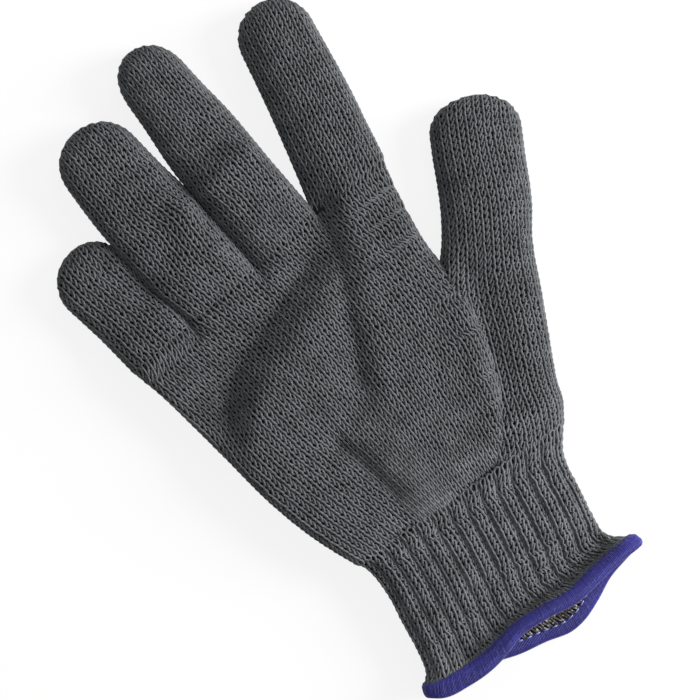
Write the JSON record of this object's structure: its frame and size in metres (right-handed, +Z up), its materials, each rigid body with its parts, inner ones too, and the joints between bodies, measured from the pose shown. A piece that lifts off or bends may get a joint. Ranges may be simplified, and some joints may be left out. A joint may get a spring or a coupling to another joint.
{
  "type": "cut resistant glove",
  "caption": "Seamless knitted work glove with a ribbed elastic cuff and an overlocked hem, lying flat with its palm up; fingers, thumb and wrist bend at their creases.",
  "frame": {"origin": "middle of the glove's box on the plane it lies on", "axes": "+Z up out of the palm, +Y from the cuff to the fingertips, +X to the thumb"},
  "size_m": [0.1758, 0.2622, 0.017],
  "materials": {
    "grey_knit": "dark grey plain knit of cut resistant composite yarn",
    "rib_knit": "dark grey ribbed knit",
    "blue_overlock": "blue fluffy overlock thread",
    "needle_thread": "light blue needle thread",
    "elastic_yarn": "covered elastic yarn"
  },
  "bodies": {
    "palm": {"palm_five_finger": "grey_knit", "palm_four_finger": "grey_knit", "thumb_gusset": "grey_knit", "wrist_knit": "grey_knit", "little_root_knuckle": "grey_knit", "ring_root_knuckle": "grey_knit", "middle_root_knuckle": "grey_knit", "index_root_knuckle": "grey_knit", "thumb_root_knuckle": "grey_knit"},
    "cuff": {"rib_cuff": "rib_knit", "cuff_elastic": "elastic_yarn", "hem_overlock": "blue_overlock", "hem_needle_thread": "needle_thread"},
    "little_base": {"little_base": "grey_knit", "little_middle_knuckle": "grey_knit"},
    "little_middle": {"little_middle": "grey_knit", "little_tip_knuckle": "grey_knit"},
    "little_tip": {"little_tip": "grey_knit"},
    "ring_base": {"ring_base": "grey_knit", "ring_middle_knuckle": "grey_knit"},
    "ring_middle": {"ring_middle": "grey_knit", "ring_tip_knuckle": "grey_knit"},
    "ring_tip": {"ring_tip": "grey_knit"},
    "middle_base": {"middle_base": "grey_knit", "middle_middle_knuckle": "grey_knit"},
    "middle_middle": {"middle_middle": "grey_knit", "middle_tip_knuckle": "grey_knit"},
    "middle_tip": {"middle_tip": "grey_knit"},
    "index_base": {"index_base": "grey_knit", "index_middle_knuckle": "grey_knit"},
    "index_middle": {"index_middle": "grey_knit", "index_tip_knuckle": "grey_knit"},
    "index_tip": {"index_tip": "grey_knit"},
    "thumb_base": {"thumb_base": "grey_knit", "thumb_tip_knuckle": "grey_knit"},
    "thumb_tip": {"thumb_tip": "grey_knit"}
  },
  "joints": [
    {"name": "wrist_bend", "type": "hinge", "parent": "palm", "child": "cuff", "pos_m": [-0.00968, -0.06557, 0.0085], "axis": [-1, 0, 0], "range_deg": [-50, 50], "deforming": ["wrist_knit"]},
    {"name": "little_root_bend", "type": "hinge", "parent": "palm", "child": "little_base", "pos_m": [-0.06955, 0.04446, 0.007], "axis": [1, 0, 0], "range_deg": [-10, 65], "deforming": ["little_root_knuckle"]},
    {"name": "little_middle_bend", "type": "hinge", "parent": "little_base", "child": "little_middle", "pos_m": [-0.07249, 0.05917, 0.007], "axis": [1, 0, 0], "range_deg": [0, 85], "deforming": ["little_middle_knuckle"]},
    {"name": "little_tip_bend", "type": "hinge", "parent": "little_middle", "child": "little_tip", "pos_m": [-0.07523, 0.0729, 0.007], "axis": [1, 0, 0], "range_deg": [0, 45], "deforming": ["little_tip_knuckle"]},
    {"name": "ring_root_bend", "type": "hinge", "parent": "palm", "child": "ring_base", "pos_m": [-0.03956, 0.04795, 0.007], "axis": [1, 0, 0], "range_deg": [-10, 65], "deforming": ["ring_root_knuckle"]},
    {"name": "ring_middle_bend", "type": "hinge", "parent": "ring_base", "child": "ring_middle", "pos_m": [-0.04311, 0.07169, 0.007], "axis": [1, 0, 0], "range_deg": [0, 85], "deforming": ["ring_middle_knuckle"]},
    {"name": "ring_tip_bend", "type": "hinge", "parent": "ring_middle", "child": "ring_tip", "pos_m": [-0.04666, 0.09542, 0.007], "axis": [1, 0, 0], "range_deg": [0, 45], "deforming": ["ring_tip_knuckle"]},
    {"name": "middle_root_bend", "type": "hinge", "parent": "palm", "child": "middle_base", "pos_m": [-0.00834, 0.05156, 0.007], "axis": [1, 0, 0], "range_deg": [-10, 65], "deforming": ["middle_root_knuckle"]},
    {"name": "middle_middle_bend", "type": "hinge", "parent": "middle_base", "child": "middle_middle", "pos_m": [-0.01022, 0.07849, 0.007], "axis": [1, 0, 0], "range_deg": [0, 85], "deforming": ["middle_middle_knuckle"]},
    {"name": "middle_tip_bend", "type": "hinge", "parent": "middle_middle", "child": "middle_tip", "pos_m": [-0.0121, 0.10543, 0.007], "axis": [1, 0, 0], "range_deg": [0, 45], "deforming": ["middle_tip_knuckle"]},
    {"name": "index_root_bend", "type": "hinge", "parent": "palm", "child": "index_base", "pos_m": [0.02382, 0.05499, 0.007], "axis": [1, 0, 0], "range_deg": [-10, 65], "deforming": ["index_root_knuckle"]},
    {"name": "index_middle_bend", "type": "hinge", "parent": "index_base", "child": "index_middle", "pos_m": [0.02726, 0.07672, 0.007], "axis": [1, 0, 0], "range_deg": [0, 85], "deforming": ["index_middle_knuckle"]},
    {"name": "index_tip_bend", "type": "hinge", "parent": "index_middle", "child": "index_tip", "pos_m": [0.0307, 0.09845, 0.007], "axis": [1, 0, 0], "range_deg": [0, 45], "deforming": ["index_tip_knuckle"]},
    {"name": "thumb_root_bend", "type": "hinge", "parent": "palm", "child": "thumb_base", "pos_m": [0.05644, 0.00453, 0.0075], "axis": [0.887, -0.4617, 0], "range_deg": [-10, 45], "deforming": ["thumb_root_knuckle"]},
    {"name": "thumb_tip_bend", "type": "hinge", "parent": "thumb_base", "child": "thumb_tip", "pos_m": [0.0666, 0.02405, 0.0075], "axis": [0.887, -0.4617, 0], "range_deg": [0, 60], "deforming": ["thumb_tip_knuckle"]}
  ]
}
